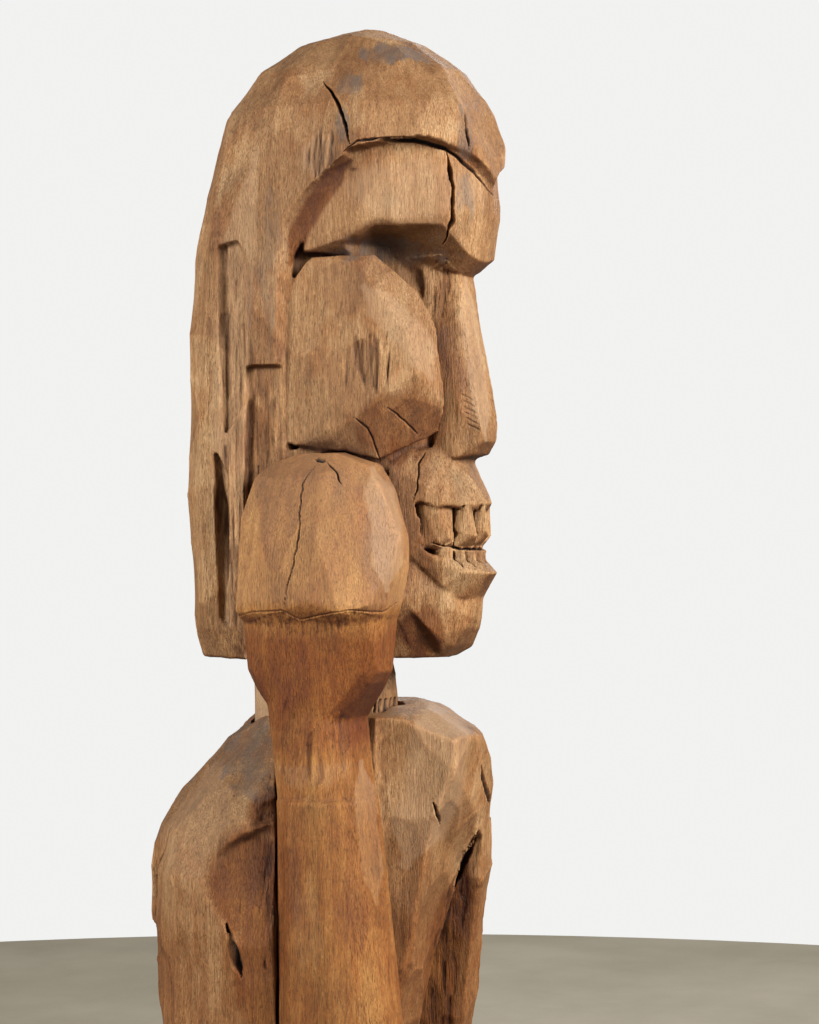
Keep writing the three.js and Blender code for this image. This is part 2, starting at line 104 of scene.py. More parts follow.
def noise(points, size, seed):
    """Smooth noise from -1 to 1; size is the feature size in metres along x, y and z."""
    p = points / np.asarray(size)
    cell = np.floor(p).astype(np.int64)
    f = p - cell
    f = f * f * (3.0 - 2.0 * f)
    total = np.zeros(len(p))
    for corner in product((0, 1), repeat=3):
        weight = np.prod(np.where(np.array(corner) == 1, f, 1.0 - f), axis=1)
        total += weight * hashed(cell + np.array(corner), seed)
    return total * 2.0 - 1.0


def layered(points, size, seed, octaves=3):
    """Noise with finer, weaker layers on top."""
    total, weight = np.zeros(len(points)), 1.0
    for i in range(octaves):
        total += weight * noise(points, np.asarray(size) / 2.0**i, seed + 31 * i)
        weight *= 0.5
    return total / (2.0 - 2.0 ** (1 - octaves))


CELL_SCATTER = 0.8
FACET_TILT = 0.25
BEYOND_ANY_CELL = 9.0


def tool_cuts(points, size, seed):
    """Shallow facets left by an adze: a height that dips in each cell, and a random number per cell."""
    p = points / np.asarray(size)
    cell = np.floor(p).astype(np.int64)
    nearest = np.full(len(p), BEYOND_ANY_CELL)
    height = np.zeros(len(p))
    chance = np.zeros(len(p))
    for offset in product((-1, 0, 1), repeat=3):
        c = cell + np.array(offset)
        random = np.stack([hashed(c, seed + k) for k in range(6)], axis=1)
        away = p - (c + 0.5 + CELL_SCATTER * (random[:, :3] - 0.5))
        distance = (away**2).sum(axis=1)
        closer = distance < nearest
        tilt = ((random[:, 3:] - 0.5) * away).sum(axis=1)
        nearest = np.where(closer, distance, nearest)
        height = np.where(closer, distance + FACET_TILT * tilt, height)
        chance = np.where(closer, random[:, 5], chance)
    return height, chance


# ---------------------------------------------------------------- marks cut into the wood

# Marks are given in millimetres on an upright plane through the origin, seen square on from an azimuth in
# degrees. nearest keeps a mark off any surface that is less far towards the viewer than that.

MM_PER_M = 1000.0
ANY_DISTANCE = -999.0
MIN_FACING = 0.05  # lines stop where the surface is nearly edge-on to their plane
LINE_ROOM = 0.002
LINE_WOBBLE = 0.0009
WOBBLE_SIZE = (0.006, 0.006, 0.006)
WOBBLE_SEED = 5
TAPER_RATE = 5.0
END_WIDTH = 0.2  # a tapered line's width at its ends, as a share of its full width
EDGE_RATE = 4.0  # how quickly strokes and patches reach their full strength
RAGGED_SIZE = (0.007, 0.007, 0.045)
RAGGED_SEED = 77
BAND_DRIFT = 0.004
DRIFT_SIZE = (0.03, 0.03, 0.03)
DRIFT_SEED = 9


def plane_coords(points, azimuth_deg):
    """(across, up, towards the viewer) on an upright plane seen square on from that azimuth."""
    a = math.radians(azimuth_deg)
    across = points[:, 0] * math.cos(a) + points[:, 1] * math.sin(a)
    toward = points[:, 0] * math.sin(a) - points[:, 1] * math.cos(a)
    return across, points[:, 2], toward


def line_distance(across, up, line):
    """Distance to a polyline and how far along it from 0 to 1, for points on the plane."""
    line = np.asarray(line, dtype=float)
    lengths = np.hypot(*(line[1:] - line[:-1]).T)
    starts = np.concatenate([[0.0], np.cumsum(lengths)])
    best = np.full(len(across), 1e9)
    along = np.zeros(len(across))
    for i, (a, b) in enumerate(zip(line[:-1], line[1:])):
        d = b - a
        projected = (across - a[0]) * d[0] + (up - a[1]) * d[1]
        t = np.clip(projected / lengths[i] ** 2, 0, 1)
        gap = np.hypot(across - a[0] - t * d[0], up - a[1] - t * d[1])
        closer = gap < best
        best = np.where(closer, gap, best)
        along = np.where(closer, (starts[i] + t * lengths[i]) / starts[-1], along)
    return best, along


class Line:
    """A groove or a stroke of tone along a line."""

    def __init__(self, line, width, depth=0.0, strength=1.0, azimuth=CAMERA_AZIMUTH, nearest=ANY_DISTANCE,
                 taper=True):
        self.line = np.asarray(line, dtype=float) / MM_PER_M
        self.half = width / 2.0 / MM_PER_M
        self.depth = depth / MM_PER_M
        self.strength = strength
        self.azimuth = azimuth
        self.nearest = nearest / MM_PER_M
        self.taper = taper

    def reach(self, points, normals, margin=0.0):
        """How strongly each point is in the line: 0 at its edge, the full strength along its middle."""
        across, up, toward = plane_coords(points, self.azimuth)
        _, _, facing = plane_coords(normals, self.azimuth)
        pad = self.half + margin + LINE_ROOM
        low, high = self.line.min(axis=0) - pad, self.line.max(axis=0) + pad
        chosen = (across > low[0]) & (across < high[0]) & (up > low[1]) & (up < high[1])
        chosen &= (facing > MIN_FACING) & (toward > self.nearest)
        strength = np.zeros(len(points))
        where = np.nonzero(chosen)[0]
        if not len(where):
            return strength
        wobble = LINE_WOBBLE * noise(points[where], WOBBLE_SIZE, WOBBLE_SEED)
        gap, along = line_distance(across[where] + wobble, up[where], self.line)
        taper = 1.0
        if self.taper:
            taper = np.clip(np.minimum(along, 1.0 - along) * TAPER_RATE, END_WIDTH, 1.0)
        strength[where] = self.strength * np.clip(1.0 - gap / ((self.half + margin) * taper), 0.0, 1.0)
        return strength


class Stroke(Line):
    """A broad stroke with a flat middle and soft edges, for tone and torn grain."""

    def reach(self, points, normals, margin=0.0):
        limit = abs(self.strength)
        return np.clip(super().reach(points, normals, margin) * EDGE_RATE, -limit, limit)


class Patch:
    """An oval area with a ragged edge. A margin leaves it as it is."""

    def __init__(self, centre, radii, azimuth=CAMERA_AZIMUTH, nearest=ANY_DISTANCE, strength=1.0,
                 ragged=0.75):
        self.centre = np.asarray(centre, dtype=float) / MM_PER_M
        self.radii = np.asarray(radii, dtype=float) / MM_PER_M
        self.azimuth = azimuth
        self.nearest = nearest / MM_PER_M
        self.strength = strength
        self.ragged = ragged

    def reach(self, points, normals, margin=0.0):
        across, up, toward = plane_coords(points, self.azimuth)
        _, _, facing = plane_coords(normals, self.azimuth)
        oval = np.hypot((across - self.centre[0]) / self.radii[0], (up - self.centre[1]) / self.radii[1])
        oval = oval + self.ragged * layered(points, RAGGED_SIZE, RAGGED_SEED, 3)
        inside = np.clip((1.0 - oval) * EDGE_RATE, 0.0, 1.0)
        return self.strength * inside * (facing > 0.0) * (toward > self.nearest)


class Band:
    """Everything between two heights, with soft ends. A margin leaves it as it is."""

    def __init__(self, low, high, strength=1.0, soft=8.0):
        self.low = low / MM_PER_M
        self.high = high / MM_PER_M
        self.soft = soft / MM_PER_M
        self.strength = strength

    def reach(self, points, normals, margin=0.0):
        z = points[:, 2] + BAND_DRIFT * noise(points, DRIFT_SIZE, DRIFT_SEED)
        rise = np.clip((z - self.low) / self.soft, 0.0, 1.0)
        fall = np.clip((self.high - z) / self.soft, 0.0, 1.0)
        return self.strength * rise * fall


def combined(marks, points, normals):
    """The strongest of several marks at each point."""
    total = np.zeros(len(points))
    for mark in marks:
        total = np.maximum(total, mark.reach(points, normals))
    return total


# ---------------------------------------------------------------- mesh work

def coordinates(mesh):
    co = np.empty(len(mesh.vertices) * 3, dtype=np.float32)
    mesh.vertices.foreach_get("co", co)
    return co.reshape(-1, 3).astype(float)


def vertex_normals(mesh):
    normals = np.empty(len(mesh.vertices) * 3, dtype=np.float32)
    mesh.vertex_normals.foreach_get("vector", normals)
    return normals.reshape(-1, 3).astype(float)


def set_coordinates(mesh, co):
    mesh.vertices.foreach_set("co", co.astype(np.float32).ravel())
    mesh.update()


def edge_array(mesh):
    edges = np.empty(len(mesh.edges) * 2, dtype=np.int32)
    mesh.edges.foreach_get("vertices", edges)
    return edges.reshape(-1, 2)


def neighbour_mean(values, edges, count):
    """The mean of each vertex's neighbours, for an (N, k) array."""
    a, b = edges[:, 0], edges[:, 1]
    degree = np.bincount(a, minlength=count) + np.bincount(b, minlength=count)
    columns = []
    for k in range(values.shape[1]):
        total = np.bincount(a, weights=values[b, k], minlength=count)
        total += np.bincount(b, weights=values[a, k], minlength=count)
        columns.append(total / np.maximum(degree, 1))
    return np.stack(columns, axis=1)


SMOOTHING_PULL = 0.6


def smoothed(values, edges, rounds):
    """Evens out values over the mesh."""
    for _ in range(rounds):
        target = neighbour_mean(values, edges, len(values))
        values = values + SMOOTHING_PULL * (target - values)
    return values


def store(mesh, name, values):
    """Keeps one number per vertex for the materials to read."""
    layer = mesh.attributes.new(name, "FLOAT", "POINT")
    layer.data.foreach_set("value", values.astype(np.float32))


def remeshed_copy(node, name, voxel):
    """A new object with an even, closed quad mesh of the CAD node."""
    mesh = NODES[node].data.copy()
    mesh.materials.clear()
    piece = bpy.data.objects.new(name, mesh)
    bpy.context.scene.collection.objects.link(piece)
    remesh = piece.modifiers.new("even_quads", "REMESH")
    remesh.mode = "VOXEL"
    remesh.voxel_size = voxel * 1.0
    remesh.use_smooth_shade = True
    depsgraph = bpy.context.evaluated_depsgraph_get()
    even = bpy.data.meshes.new_from_object(piece.evaluated_get(depsgraph))
    piece.modifiers.clear()
    piece.data = even
    even.name = name
    return piece


def refine_near(mesh, marks, margin):
    """Splits the faces around narrow marks, so that their edges come out clean."""
    co, normals = coordinates(mesh), vertex_normals(mesh)
    near = np.zeros(len(co), dtype=bool)
    for mark in marks:
        near |= mark.reach(co, normals, margin) > 0.0
    if not near.any():
        return
    work = bmesh.new()
    work.from_mesh(mesh)
    work.verts.ensure_lookup_table()
    faces = {f for i in np.nonzero(near)[0] for f in work.verts[i].link_faces}
    edges = list({e for f in faces for e in f.edges})
    bmesh.ops.subdivide_edges(work, edges=edges, cuts=1, use_grid_fill=True)
    work.to_mesh(mesh)
    work.free()
    mesh.update()


REFINE_MARGIN = 0.002
SMALL_PATCH = 0.0006  # product of the radii in square metres, below which the mesh is refined
SOFTEN_ROUNDS = 2
FINE_FIBRE = (0.0022, 0.0022, 0.05)
COARSE_FIBRE = (0.0034, 0.0034, 0.028)
CUT_WANDER = 0.002
CUT_LEVEL = 0.35  # the height in a cut that stays on the block's surface
WAVE_DEPTH = 0.0004
WAVE_SIZE = (0.05, 0.05, 0.11)
FIBRE_DEPTH = 0.00022
TORN_DEPTH = 0.0010
CRACK_PROFILE = 0.7
WEAR_AND_CREASE_SHADE_PER_METRE = 2500.0


def refine_marks(mesh, cracks, torn):
    """Gives the drying checks and the small torn patches a finer mesh."""
    small = [mark for mark in torn if isinstance(mark, Patch) and mark.radii.prod() < SMALL_PATCH]
    fine = [*cracks, *small]
    if fine:
        refine_near(mesh, fine, REFINE_MARGIN)


def fibre_relief(co, seed):
    """The raised grain, and the coarser splinters of torn grain, each from about -1 to 1."""
    fibre = layered(co, FINE_FIBRE, seed + 3, 2)
    coarse = layered(co, COARSE_FIBRE, seed + 9, 2)
    return fibre, np.clip((coarse + 0.6 * fibre) * 2.2, -1.0, 1.0)


def facet_relief(co, seed, cut_size, cut_depth):
    """The height left by the tool cuts in metres, and a random number for each cut."""
    wander = np.stack([noise(co, (0.03,) * 3, seed + k) for k in range(3)], axis=1)
    cuts, chance = tool_cuts(co + CUT_WANDER * wander, cut_size, seed)
    return cut_depth * (cuts - CUT_LEVEL), chance


def carve(node, name, voxel, cracks=(), torn=(), stains=(), tones_and_painted_light=(), seed=1,
          cut_size=(0.042, 0.042, 0.055), cut_depth=0.0038):
    """Replaces a CAD block by worked wood: soft arrises, tool cuts, raised grain, checks and torn patches."""
    piece = remeshed_copy(node, name, voxel)
    mesh = piece.data
    refine_marks(mesh, cracks, torn)
    low, high = (np.array(c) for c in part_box(node))
    edges = edge_array(mesh)
    co = smoothed(coordinates(mesh), edges, SOFTEN_ROUNDS)
    set_coordinates(mesh, co)
    normals = smoothed(vertex_normals(mesh), edges, 2)

    ragged = combined(torn, co, normals)
    fibre, splinters = fibre_relief(co, seed)
    depth, chance = facet_relief(co, seed, cut_size, cut_depth)
    depth += WAVE_DEPTH * layered(co, WAVE_SIZE, seed + 5, 2)
    depth += FIBRE_DEPTH * fibre
    depth += ragged * (TORN_DEPTH * splinters - TORN_DEPTH)
    for crack in cracks:
        share = np.clip(crack.reach(co, normals) / crack.strength, 0.0, 1.0)
        depth -= crack.depth * share**CRACK_PROFILE
    moved = np.clip(co + normals * depth[:, None], low, high)
    set_coordinates(mesh, moved)
    even = smoothed(moved, edges, 3)
    arris = smoothed(((moved - even) * normals).sum(axis=1)[:, None], edges, 1)[:, 0]

    store(mesh, "cut", smoothed(chance[:, None], edges, 2)[:, 0])
    store(mesh, "crack", combined(cracks, co, normals))
    store(mesh, "torn", ragged * (0.35 - 0.65 * splinters))
    # Negative values mark creases, where the colour gets grime and painted shade; positive values mark
    # arrises, rubbed pale.
    store(mesh, "wear_and_crease_shade", np.clip(arris * WEAR_AND_CREASE_SHADE_PER_METRE, -1.0, 1.0))
    store(mesh, "stain", combined(stains, co, normals))
    # The summed marks hold tonal colour and also painted highlights and painted shade on chosen facets.
    store(mesh, "tone_and_painted_light", sum((t.reach(co, normals) for t in tones_and_painted_light), np.zeros(len(co))))
    mesh.polygons.foreach_set("use_smooth", np.ones(len(mesh.polygons), dtype=bool))
    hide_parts(node)
    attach(piece, "root")
    return piece


# ---------------------------------------------------------------- materials

class Nodes:
    """Adds shader nodes with short calls."""

    def __init__(self, name):
        self.material = bpy.data.materials.new(name)
        self.material.use_nodes = True
        self.tree = self.material.node_tree
        self.shader = self.tree.nodes["Principled BSDF"]

    def add(self, kind, settings=(), **inputs):
        """A node with its settings; inputs go by name, or by number as i0, i1 and so on."""
        made = self.tree.nodes.new(kind)
        for key, value in dict(settings).items():
            setattr(made, key, value)
        for key, value in inputs.items():
            numbered = key[0] == "i" and key[1:].isdigit()
            self.feed(made.inputs[int(key[1:]) if numbered else key], value)
        return made

    def feed(self, socket, value):
        if isinstance(value, bpy.types.NodeSocket):
            self.tree.links.new(value, socket)
        else:
            socket.default_value = value

    def maths(self, operation, a, b=0.0, clamp=False):
        settings = {"operation": operation, "use_clamp": clamp}
        return self.add("ShaderNodeMath", settings, i0=a, i1=b).outputs[0]

    def place(self, scale, shift=(0.0, 0.0, 0.0)):
        """Object coordinates, scaled per axis."""
        coords = self.add("ShaderNodeTexCoord").outputs["Object"]
        return self.add("ShaderNodeMapping", Vector=coords, Scale=scale, Location=shift).outputs[0]

    def noise(self, scale, detail=4.0, rough=0.55, shift=(0.0, 0.0, 0.0), warp=0.0):
        """Noise whose scale is given per axis in features per metre."""
        made = self.add("ShaderNodeTexNoise", Vector=self.place(scale, shift), Scale=1.0,
                        Detail=detail, Roughness=rough, Distortion=warp)
        return made.outputs[0]

    def ramp(self, factor, stops):
        made = self.add("ShaderNodeValToRGB", Fac=factor)
        elements = made.color_ramp.elements
        while len(elements) < len(stops):
            elements.new(0.5)
        for element, (position, colour) in zip(elements, stops):
            element.position = position
            element.color = (*colour, 1.0)
        return made.outputs[0]

    def remap(self, value, low, high, to_low=0.0, to_high=1.0):
        return self.add("ShaderNodeMapRange", i0=value, i1=low, i2=high, i3=to_low, i4=to_high).outputs[0]

    def mix(self, factor, a, b, blend="MIX"):
        settings = {"data_type": "RGBA", "blend_type": blend}
        made = self.add("ShaderNodeMix", settings)
        for index, value in ((0, factor), (6, a), (7, b)):
            self.feed(made.inputs[index], (*value, 1.0) if isinstance(value, tuple) else value)
        return made.outputs[2]

    def tint(self, value, low, high, most, below, colour):
        """Multiplies the colour below by another, more so as the value goes from low to high."""
        return self.mix(self.remap(value, low, high, 0.0, most), below, colour, "MULTIPLY")

    def attribute(self, name):
        return self.add("ShaderNodeAttribute", {"attribute_name": name}).outputs["Fac"]


WARM_TINT = (0.80, 0.62, 0.45)
GREY_TINT = (0.66, 0.68, 0.72)
FIBRE_TINT = (0.62, 0.54, 0.46)
PAINTED_GLINT_TINT = (1.5, 1.6, 1.75)
PAINTED_UNDERSIDE_SHADE_TINT = (0.40, 0.29, 0.20)
WEATHERED_TINT = (0.66, 0.67, 0.72)
RUBBED_TINT = (1.5, 1.42, 1.32)
CREASE_SHADE_AND_GRIME_TINT = (0.40, 0.30, 0.22)
PAINTED_HOLLOW_SHADE_TINT = (0.34, 0.23, 0.15)
TORN_DARK_TINT = (0.42, 0.31, 0.22)
TORN_LIGHT_TINT = (1.45, 1.4, 1.35)
PALE_TONE_AND_PAINTED_LIGHT = (0.50, 0.33, 0.195)
BROWN_SHADE = (0.56, 0.36, 0.17)
STAIN_COLOUR = (0.095, 0.085, 0.08)
CRACK_COLOUR = (0.022, 0.012, 0.008)
PAINTED_SHADE_REACH = 0.04


def shifted(shift, by):
    return tuple(s + by for s in shift)


def wood_textures(n, shift):
    """The patterns that a piece of wood is painted with, most of them drawn out along z."""
    return SimpleNamespace(
        bands=n.noise((34.0, 34.0, 2.2), 4.0, 0.6, shift, 0.8),
        streaks=n.noise((210.0, 210.0, 7.0), 4.0, 0.65, shift),
        fibres=n.noise((900.0, 900.0, 60.0), 4.0, 0.7, shift),
        pores=n.noise((1300.0, 1300.0, 170.0), 2.0, 0.6, shift),
        painted_glints=n.noise((1000.0, 1000.0, 420.0), 2.0, 0.6, shifted(shift, 7.3)),
        mottle=n.noise((55.0, 55.0, 30.0), 5.0, 0.68, shift),
        clouds=n.noise((11.0, 11.0, 7.0), 4.0, 0.6, shift),
        warm_blots=n.noise((30.0, 30.0, 17.0), 6.0, 0.7, shifted(shift, 3.1)),
        grey_blots=n.noise((38.0, 38.0, 24.0), 6.0, 0.72, shifted(shift, 5.7)),
    )


def grain_pattern(n, tex, sculpted):
    """The mixture that sets how light the wood is; each tool cut on a sculpted piece has its own level."""
    grain = n.maths("ADD", n.maths("MULTIPLY", tex.bands, 0.35), n.maths("MULTIPLY", tex.streaks, 0.42))
    grain = n.maths("ADD", grain, n.maths("MULTIPLY", tex.mottle, 0.23))
    if sculpted:
        grain = n.maths("ADD", grain, n.remap(n.attribute("cut"), 0.0, 1.0, -0.085, 0.085))
    return grain


def wood_colour(n, tex, grain, fleck, deep, dark, mid, light):
    """Bare wood: grain, cloudy and blotched colour, fibres and pores, with painted glints of highlight."""
    colour = n.ramp(grain, [(0.34, dark), (0.5, mid), (0.64, light)])
    colour = n.mix(n.remap(tex.clouds, 0.40, 0.66, 0.0, 0.55), colour, dark)
    colour = n.tint(tex.warm_blots, 0.5, 0.64, 0.75, colour, WARM_TINT)
    colour = n.tint(tex.grey_blots, 0.54, 0.68, 0.7, colour, GREY_TINT)
    colour = n.tint(tex.fibres, 0.56, 0.36, 0.85, colour, FIBRE_TINT)
    # painted highlight: small pale glints are multiplied into the colour
    colour = n.tint(tex.painted_glints, 0.55, 0.7, 0.8, colour, PAINTED_GLINT_TINT)
    return n.mix(n.maths("MULTIPLY", fleck, 0.5), colour, deep)


def worked_colour(n, tex, colour, shade):
    """What carving and weather add, with painted shade and highlights: painted shade on undersides and in
    hollows, tonal patches that include painted highlights and shade, rubbed arrises, grime and painted shade
    in creases, torn grain, stains and checks.
    """
    normal = n.add("ShaderNodeNewGeometry").outputs["Normal"]
    facing = n.add("ShaderNodeSeparateXYZ", Vector=normal).outputs[2]
    # painted shade: surfaces that face down are darkened
    colour = n.tint(facing, -0.18, -0.55, 0.95, colour, PAINTED_UNDERSIDE_SHADE_TINT)
    colour = n.tint(facing, 0.2, 0.8, 0.5, colour, WEATHERED_TINT)
    # Positive values pale the colour and negative values darken it; besides tonal colour, some of these are
    # painted highlights and painted shade.
    tone_and_painted_light = n.attribute("tone_and_painted_light")
    colour = n.mix(n.remap(tone_and_painted_light, 0.0, 1.0, 0.0, 0.6), colour, PALE_TONE_AND_PAINTED_LIGHT)
    colour = n.tint(tone_and_painted_light, 0.0, -1.0, 1.0, colour, shade)
    wear_and_crease_shade = n.attribute("wear_and_crease_shade")
    colour = n.tint(wear_and_crease_shade, 0.12, 0.8, 0.5, colour, RUBBED_TINT)
    # grime and painted shade: concave creases are darkened
    colour = n.tint(wear_and_crease_shade, -0.1, -0.7, 0.75, colour, CREASE_SHADE_AND_GRIME_TINT)
    # painted shade: ambient occlusion darkens hollows, corners and the gaps between parts
    painted_hollow_shade = n.add("ShaderNodeAmbientOcclusion", {"samples": 8}, Distance=PAINTED_SHADE_REACH).outputs["AO"]
    colour = n.tint(painted_hollow_shade, 0.68, 0.25, 0.95, colour, PAINTED_HOLLOW_SHADE_TINT)
    torn = n.attribute("torn")
    colour = n.tint(torn, 0.1, 0.9, 0.8, colour, TORN_DARK_TINT)
    colour = n.tint(torn, 0.0, -0.35, 0.6, colour, TORN_LIGHT_TINT)
    stain = n.maths("MULTIPLY", n.attribute("stain"), n.remap(tex.mottle, 0.38, 0.6, 0.2, 0.9))
    colour = n.mix(stain, colour, STAIN_COLOUR)
    return n.mix(n.maths("MULTIPLY", n.attribute("crack"), 1.6, True), colour, CRACK_COLOUR)


def wood_height(n, tex, fleck, shift, sculpted):
    """The surface relief of fibres and pores, with coarse splinters where a sculpted piece is torn."""
    height = n.maths("SUBTRACT", n.maths("MULTIPLY", tex.fibres, 1.1), n.maths("MULTIPLY", fleck, 0.5))
    height = n.maths("ADD", height, n.maths("MULTIPLY", tex.streaks, 0.8))
    if sculpted:
        ripped = n.remap(n.attribute("torn"), -0.1, 0.3, 0.0, 2.2)
        splinters = n.noise((520.0, 520.0, 26.0), 3.0, 0.7, shift)
        height = n.maths("ADD", height, n.maths("MULTIPLY", ripped, splinters))
    return height


def wood_material(name, deep, dark, mid, light, shift=(0.0, 0.0, 0.0), shade=BROWN_SHADE, sculpted=True):
    """Open-pored hardwood, weathered and unfinished, with grain running along z."""
    n = Nodes(name)
    tex = wood_textures(n, shift)
    grain = grain_pattern(n, tex, sculpted)
    fleck = n.remap(tex.pores, 0.56, 0.66)
    colour = wood_colour(n, tex, grain, fleck, deep, dark, mid, light)
    if sculpted:
        colour = worked_colour(n, tex, colour, shade)
    n.feed(n.shader.inputs["Base Color"], colour)
    n.feed(n.shader.inputs["Roughness"], n.remap(grain, 0.36, 0.62, 0.5, 0.74))
    n.shader.inputs["Specular IOR Level"].default_value = 0.35
    height = wood_height(n, tex, fleck, shift, sculpted)
    bump = n.add("ShaderNodeBump", Strength=0.8, Distance=0.0009, Height=height)
    n.feed(n.shader.inputs["Normal"], bump.outputs[0])
    return n.material


def zinc_material():
    """Zinc-plated steel with a fine, uneven sheen."""
    n = Nodes("zinc_steel")
    brushed = n.noise((400.0, 400.0, 400.0), 3.0)
    colour = n.ramp(brushed, [(0.3, (0.42, 0.43, 0.44)), (0.7, (0.6, 0.61, 0.62))])
    n.feed(n.shader.inputs["Base Color"], colour)
    n.shader.inputs["Metallic"].default_value = 1.0
    n.feed(n.shader.inputs["Roughness"], n.remap(brushed, 0.3, 0.7, 0.3, 0.5))
    return n.material


# ---------------------------------------------------------------- the marks of this figure

def checks(seed, azimuth, across, up, count):
    """Random drying checks, which run up the grain inside a window given in millimetres."""
    random = np.random.default_rng(seed)
    lines = []
    for _ in range(count):
        length = random.uniform(35.0, 110.0)
        x = random.uniform(*across)
        z = random.uniform(up[0], max(up[1] - length, up[0] + 1.0))
        points = [(x + random.uniform(-2.5, 2.5), z + length * t) for t in (0.0, 0.3, 0.65, 1.0)]
        lines.append(Line(points, random.uniform(1.6, 3.2), random.uniform(2.5, 6.0), azimuth=azimuth))
    return lines


NECK_NICKS = [Line([(x, 626), (x + 0.5, 635)], 2.4, 3.0, taper=False) for x in (39, 43, 47, 51, 55)]
NOSE_CUTS = [Line([(109 + i, 889 - 5 * i), (121 + i, 883 - 5 * i)], 1.5, 0.8, strength=0.25, nearest=40)
             for i in range(6)]
TOOTH_GAPS = [
    *(Line([(x, 796), (x, 765)], 2.6, 4.0, strength=0.8, azimuth=0.0, nearest=90, taper=False)
      for x in (-28, -9, 9, 28)),
    *(Line([(x, 759), (x, 748)], 1.8, 2.4, strength=0.7, azimuth=0.0, nearest=90, taper=False)
      for x in (-27.5, -16.5, -5.5, 5.5, 16.5, 27.5)),
    Line([(-45, 767), (-22, 761.5), (22, 761.5), (45, 767)], 2.2, 4.5, azimuth=0.0, nearest=90),
]
HEAD_CRACKS = [
    Line([(-3, 1144), (8, 1127), (14, 1110), (19, 1088)], 3.0, 7, nearest=60),
    Line([(113, 1122), (114, 1104), (115, 1086)], 2.6, 4, nearest=20),
    Line([(98, 1083), (103, 1052), (103, 1028), (95, 1010)], 3.4, 9, nearest=40),
    Line([(81, 841), (75, 831), (74, 813), (71, 802)], 1.8, 3, strength=0.7, nearest=40),
    Line([(14, 1082), (25, 1090), (47, 1091.5), (72, 1091.5), (97, 1086), (120, 1070), (137, 1053)], 3.0, 4,
         nearest=20),
    Line([(22, 868), (34, 859), (40, 845), (44, 833)], 1.8, 2.0, strength=0.6, nearest=60),
    Line([(50, 876), (62, 866), (76, 853)], 1.6, 1.6, strength=0.4, nearest=60),
    Line([(-58, 700), (-60, 760), (-57, 830)], 3.0, 5, nearest=30),
    *NECK_NICKS, *NOSE_CUTS, *TOOTH_GAPS,
    *checks(3, 180.0, (-80, 80), (700, 1160), 9),
    *checks(4, 90.0, (-80, 60), (700, 1150), 6),
]
HEAD_TORN = [
    Patch((-6, 1081), (14, 25), nearest=60),
    Patch((33, 912), (21, 26), nearest=60),
    Patch((-77, 935), (14, 80), nearest=30, strength=0.5),
    Patch((-76, 765), (16, 75), nearest=20),
    Patch((-50, 850), (18, 55), nearest=40, strength=0.7),
    Patch((92, 975), (9, 26), nearest=20, strength=0.6),
    Patch((60, 930), (24, 60), azimuth=90.0, strength=0.7),
    Patch((20, 900), (40, 90), azimuth=180.0, strength=0.6),
]
HEAD_STAINS = [
    Patch((14, 1102), (7, 18), strength=0.7),
    Patch((18, 1138), (11, 11), strength=0.6),
    Patch((58, 1166), (28, 13), strength=0.75),
    Patch((113, 1098), (7, 24), strength=0.65),
    Patch((113, 1050), (8, 20), strength=0.5),
    Patch((-45, 1000), (12, 60), strength=0.35),
    Patch((52, 1006), (46, 13), strength=0.6),
    Patch((-30, 1120), (60, 30), azimuth=150.0, strength=0.4),
]
HEAD_TONES_AND_PAINTED_LIGHT = [
    Stroke([(30, 974), (50, 953), (72, 930), (86, 900)], 30, strength=0.45, nearest=60),
    Patch((60, 860), (40, 32), nearest=60, strength=-0.8, ragged=0.3),
    Stroke([(20, 1076), (4, 1059), (-10, 1041), (-22, 1020), (-30, 995)], 18, strength=-1.0, nearest=50),
    Stroke([(-58, 1090), (-74, 1000), (-80, 900), (-82, 700)], 34, strength=0.4),
    # painted highlight down the lit front of the nose
    Stroke([(113, 985), (119, 930), (127, 880), (131, 850)], 18, strength=0.6),
    # painted shade on the side of the nose
    Stroke([(97, 990), (99, 905)], 16, strength=-0.5),
    # painted highlight on the lit front of the brow
    Patch((72, 1052), (64, 26), nearest=20, strength=0.35, ragged=0.3),
    Stroke([(-54, 668), (-54, 606)], 34, strength=0.9, taper=False),
    Stroke([(-30, 1000), (-37, 960), (-38, 914)], 12, strength=-0.5, nearest=50),
    Patch((-8, 1082), (14, 24), nearest=60, strength=0.5),
    Patch((60, 790), (22, 60), nearest=30, strength=-0.4, ragged=0.4),
    # painted shadow of the fist under the jaw
    Patch((78, 694), (20, 26), nearest=30, strength=-0.9, ragged=0.3),
]
FIST_CRACKS = [
    Line([(-7, 829), (-18, 814), (-20, 772), (-26, 745), (-32, 716)], 1.4, 2.5, strength=0.8),
    Line([(-8, 834), (1, 832)], 4.0, 3.5),
    Line([(-70, 707), (-60, 711), (-34, 713), (-19, 706), (19, 714), (48, 712), (60, 720)], 2.0, 1.0,
         strength=0.2),
    Line([(2, 831), (9, 823), (14, 813)], 1.8, 2.5),
]
FIST_TORN = [
    Stroke([(-64, 702), (-34, 706), (-18, 699), (20, 707), (52, 706)], 14, strength=0.5),
    Stroke([(-31, 640), (-29, 578)], 20, strength=0.45),
    Stroke([(-6, 622), (-6, 574)], 24, strength=0.5),
    Stroke([(14, 632), (15, 600)], 20, strength=0.45),
    Patch((20, 380), (20, 90), strength=0.3),
    Stroke([(-52, 420), (-48, 300)], 14, strength=0.4),
]
FIST_TONES_AND_PAINTED_HIGHLIGHT = [
    Band(712, 900, 0.3),
    # painted highlight on the lit right-hand facets of the fist
    Stroke([(38, 826), (50, 780), (50, 730)], 28, strength=0.5),
    Band(590, 709, -1.0, 20.0),
    Patch((-8, 604), (36, 34), strength=0.2, ragged=0.5),
    Band(200, 580, -0.3, 40.0),
    Stroke([(30, 592), (34, 540), (41, 480)], 18, strength=0.5),
    Patch((-12, 465), (15, 46), strength=0.4),
]
